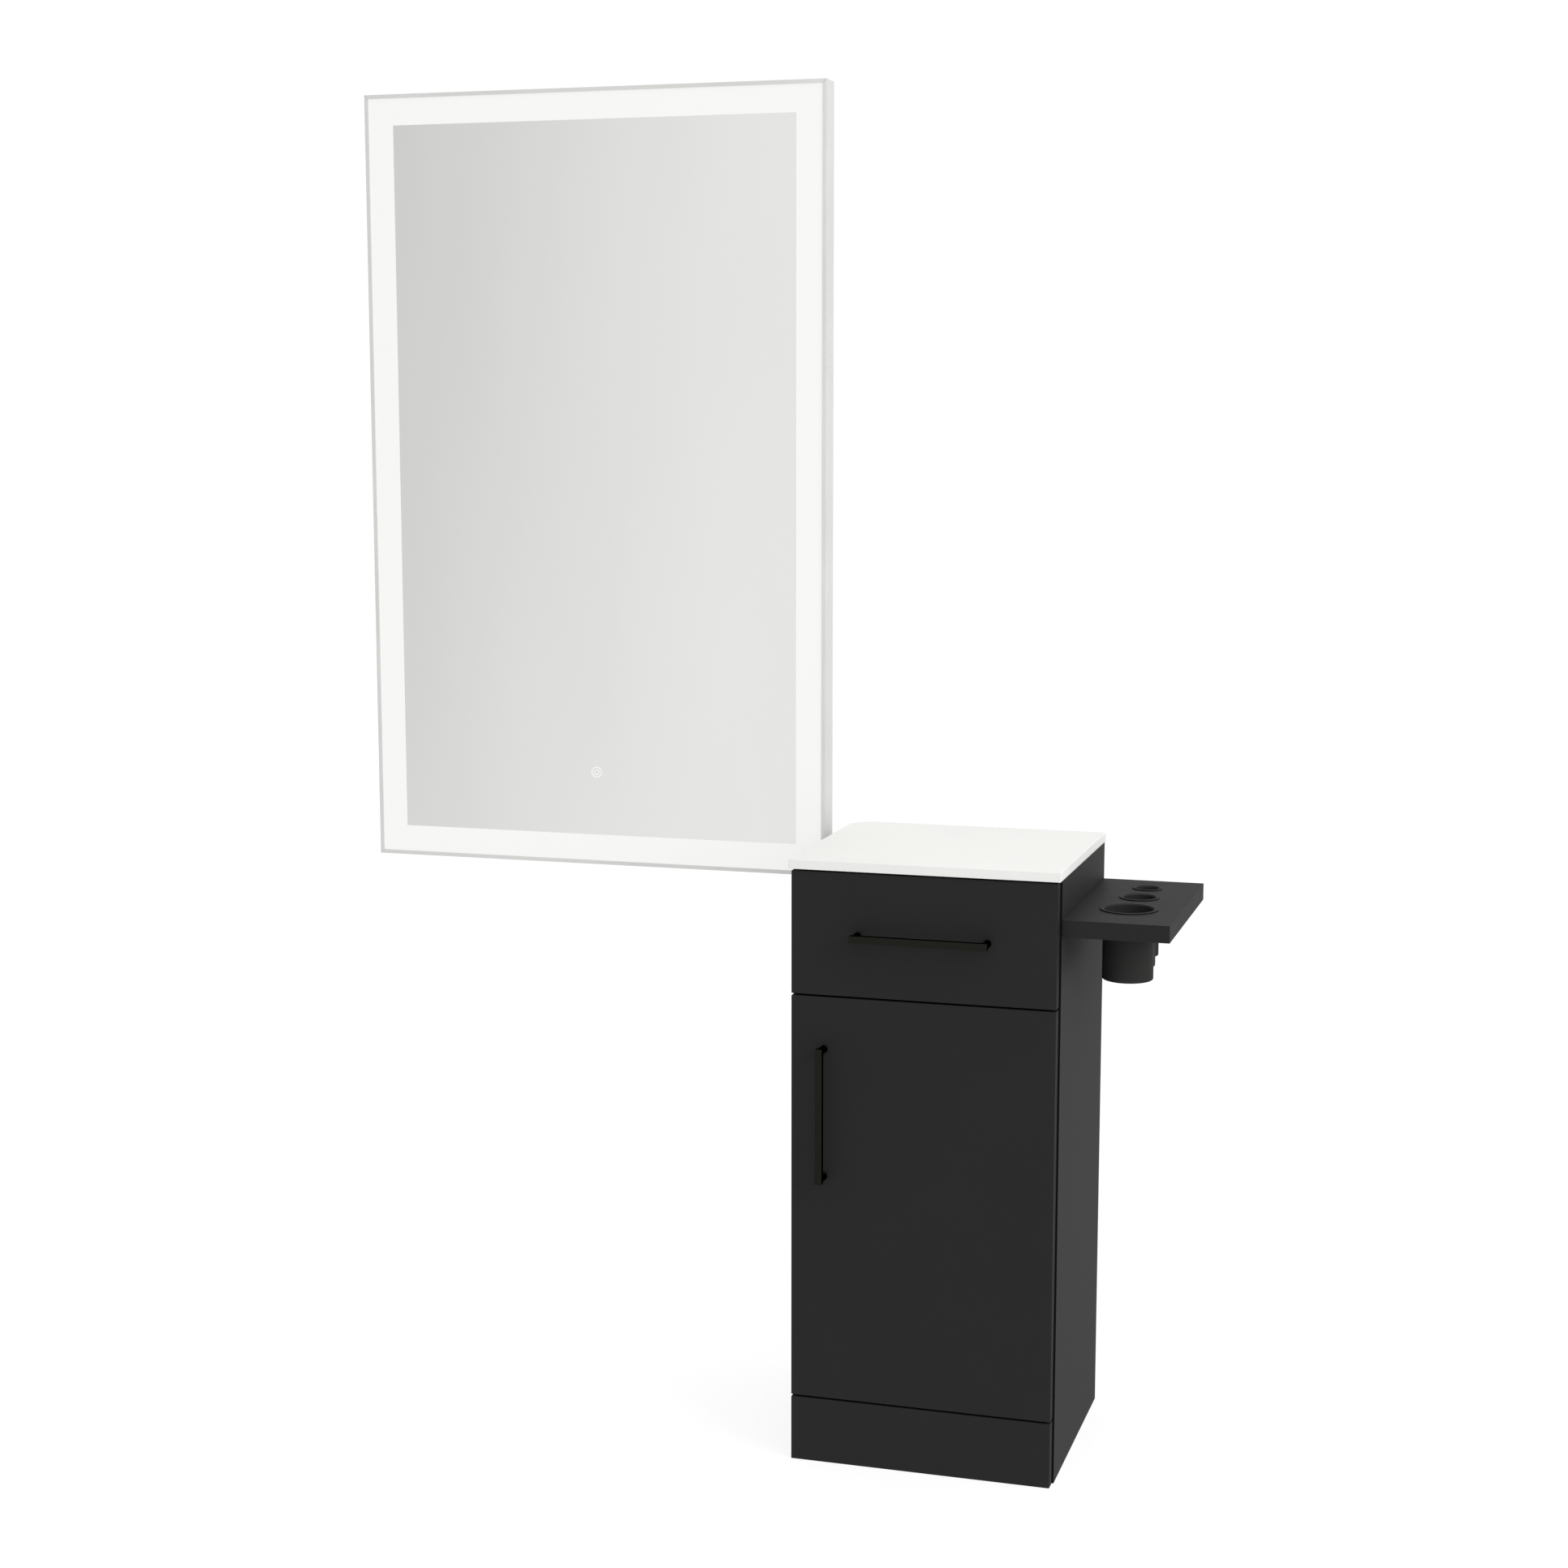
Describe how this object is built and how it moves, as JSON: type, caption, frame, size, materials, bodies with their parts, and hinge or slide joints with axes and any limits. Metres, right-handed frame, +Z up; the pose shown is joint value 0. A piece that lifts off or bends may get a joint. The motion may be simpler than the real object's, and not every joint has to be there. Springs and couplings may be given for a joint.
{
  "type": "salon styling station",
  "caption": "Narrow styling cabinet with drawer, hinged door, side tool shelf with lift-out cups, and a framed wall mirror with a lit border beside it.",
  "frame": {"origin": "on the floor, below the middle of the whole station's bounding box", "axes": "+Z up; +Y from the fronts into the wall; +X to the right of a person facing the station, from the mirror to the tool shelf"},
  "size_m": [1.3492, 0.396, 2.0439],
  "materials": {
    "black_melamine": "matte melamine face, fine orange-peel texture",
    "grey_melamine": "matte melamine drawer box board",
    "white_solid_surface": "satin white",
    "black_powder_coat": "matte black powder coat",
    "black_cup": "matte black, fine texture",
    "zinc_plated_steel": "bright zinc plate",
    "galvanised_plate": "galvanised sheet",
    "satin_aluminium": "satin anodised",
    "silvered_glass": "polished silvered glass",
    "white_plastic": "moulded",
    "black_gland": "moulded",
    "frosted_glass": "frosted, lit from behind",
    "led_strip": "white flexible strip with light sources"
  },
  "bodies": {
    "cabinet": {"side_panel_left": "black_melamine", "side_panel_right": "black_melamine", "bottom_panel": "black_melamine", "divider_rail": "black_melamine", "top_rail_front": "black_melamine", "wall_rail": "black_melamine", "back_panel": "black_melamine", "plinth_rail_front": "black_melamine", "plinth_rail_rear": "black_melamine", "toe_kick_panel": "black_melamine", "adjustable_shelf": "black_melamine", "tool_shelf": "black_melamine", "countertop": "white_solid_surface", "shelf_pin_left_front": "zinc_plated_steel", "shelf_pin_left_rear": "zinc_plated_steel", "shelf_pin_right_front": "zinc_plated_steel", "shelf_pin_right_rear": "zinc_plated_steel", "shelf_bolt_front": "zinc_plated_steel", "shelf_bolt_rear": "zinc_plated_steel", "drawer_slide_outer_left": "zinc_plated_steel", "drawer_slide_outer_right": "zinc_plated_steel", "hinge_arm_upper": "zinc_plated_steel", "hinge_arm_lower": "zinc_plated_steel", "wall_cleat": "zinc_plated_steel"},
    "drawer": {"drawer_front": "black_melamine", "drawer_side_left": "grey_melamine", "drawer_side_right": "grey_melamine", "drawer_box_front": "grey_melamine", "drawer_box_back": "grey_melamine", "drawer_bottom": "grey_melamine", "drawer_pull_bar": "black_powder_coat", "drawer_pull_post_left": "black_powder_coat", "drawer_pull_post_right": "black_powder_coat", "drawer_slide_inner_left": "zinc_plated_steel", "drawer_slide_inner_right": "zinc_plated_steel"},
    "slide_middle_left": {"drawer_slide_middle_left": "zinc_plated_steel"},
    "slide_middle_right": {"drawer_slide_middle_right": "zinc_plated_steel"},
    "door": {"door_panel": "black_melamine", "door_pull_bar": "black_powder_coat", "door_pull_post_lower": "black_powder_coat", "door_pull_post_upper": "black_powder_coat", "hinge_cup_upper": "zinc_plated_steel", "hinge_cup_lower": "zinc_plated_steel"},
    "hinge_link_upper": {"hinge_link_upper": "zinc_plated_steel"},
    "hinge_link_lower": {"hinge_link_lower": "zinc_plated_steel"},
    "tool_cup_large": {"tool_cup_large": "black_cup"},
    "tool_cup_medium": {"tool_cup_medium": "black_cup"},
    "tool_cup_small": {"tool_cup_small": "black_cup"},
    "mirror": {"mirror_frame_left": "satin_aluminium", "mirror_frame_right": "satin_aluminium", "mirror_frame_top": "satin_aluminium", "mirror_frame_bottom": "satin_aluminium", "mirror_back_plate": "galvanised_plate", "mirror_glass": "silvered_glass", "light_band": "frosted_glass", "led_strip": "led_strip", "led_driver": "white_plastic", "touch_sensor": "white_plastic", "cable_gland": "black_gland", "mirror_hanger": "zinc_plated_steel"}
  },
  "joints": [
    {"name": "drawer_slide", "type": "slide", "parent": "cabinet", "child": "drawer", "axis": [0, -1, 0], "range_m": [0, 0.3]},
    {"name": "slide_middle_left_run", "type": "slide", "parent": "cabinet", "child": "slide_middle_left", "axis": [0, -1, 0], "range_m": [0, 0.151]},
    {"name": "slide_middle_right_run", "type": "slide", "parent": "cabinet", "child": "slide_middle_right", "axis": [0, -1, 0], "range_m": [0, 0.151]},
    {"name": "hinge_link_upper_swing", "type": "hinge", "parent": "cabinet", "child": "hinge_link_upper", "pos_m": [0.4866, -0.135, 0.607], "axis": [0, 0, 1], "range_deg": [-30, 0]},
    {"name": "hinge_link_lower_swing", "type": "hinge", "parent": "cabinet", "child": "hinge_link_lower", "pos_m": [0.4866, -0.135, 0.2], "axis": [0, 0, 1], "range_deg": [-30, 0]},
    {"name": "door_hinge", "type": "hinge", "parent": "hinge_link_upper", "child": "door", "pos_m": [0.5096, -0.1545, 0.607], "axis": [0, 0, 1], "range_deg": [0, 134.4]},
    {"name": "cup_large_lift", "type": "slide", "parent": "cabinet", "child": "tool_cup_large", "axis": [0, 0, 1], "range_m": [0, 0.12]},
    {"name": "cup_medium_lift", "type": "slide", "parent": "cabinet", "child": "tool_cup_medium", "axis": [0, 0, 1], "range_m": [0, 0.12]},
    {"name": "cup_small_lift", "type": "slide", "parent": "cabinet", "child": "tool_cup_small", "axis": [0, 0, 1], "range_m": [0, 0.12]},
    {"name": "mirror_lift", "type": "slide", "parent": "cabinet", "child": "mirror", "axis": [0, 0, 1], "range_m": [0, 0.03]}
  ],
  "couplings": [
    {"joint": "slide_middle_left_run", "follows": "drawer_slide", "ratio": 0.5},
    {"joint": "slide_middle_right_run", "follows": "drawer_slide", "ratio": 0.5},
    {"joint": "hinge_link_upper_swing", "follows": "door_hinge", "ratio": -0.21875},
    {"joint": "hinge_link_lower_swing", "follows": "door_hinge", "ratio": -0.21875}
  ]
}
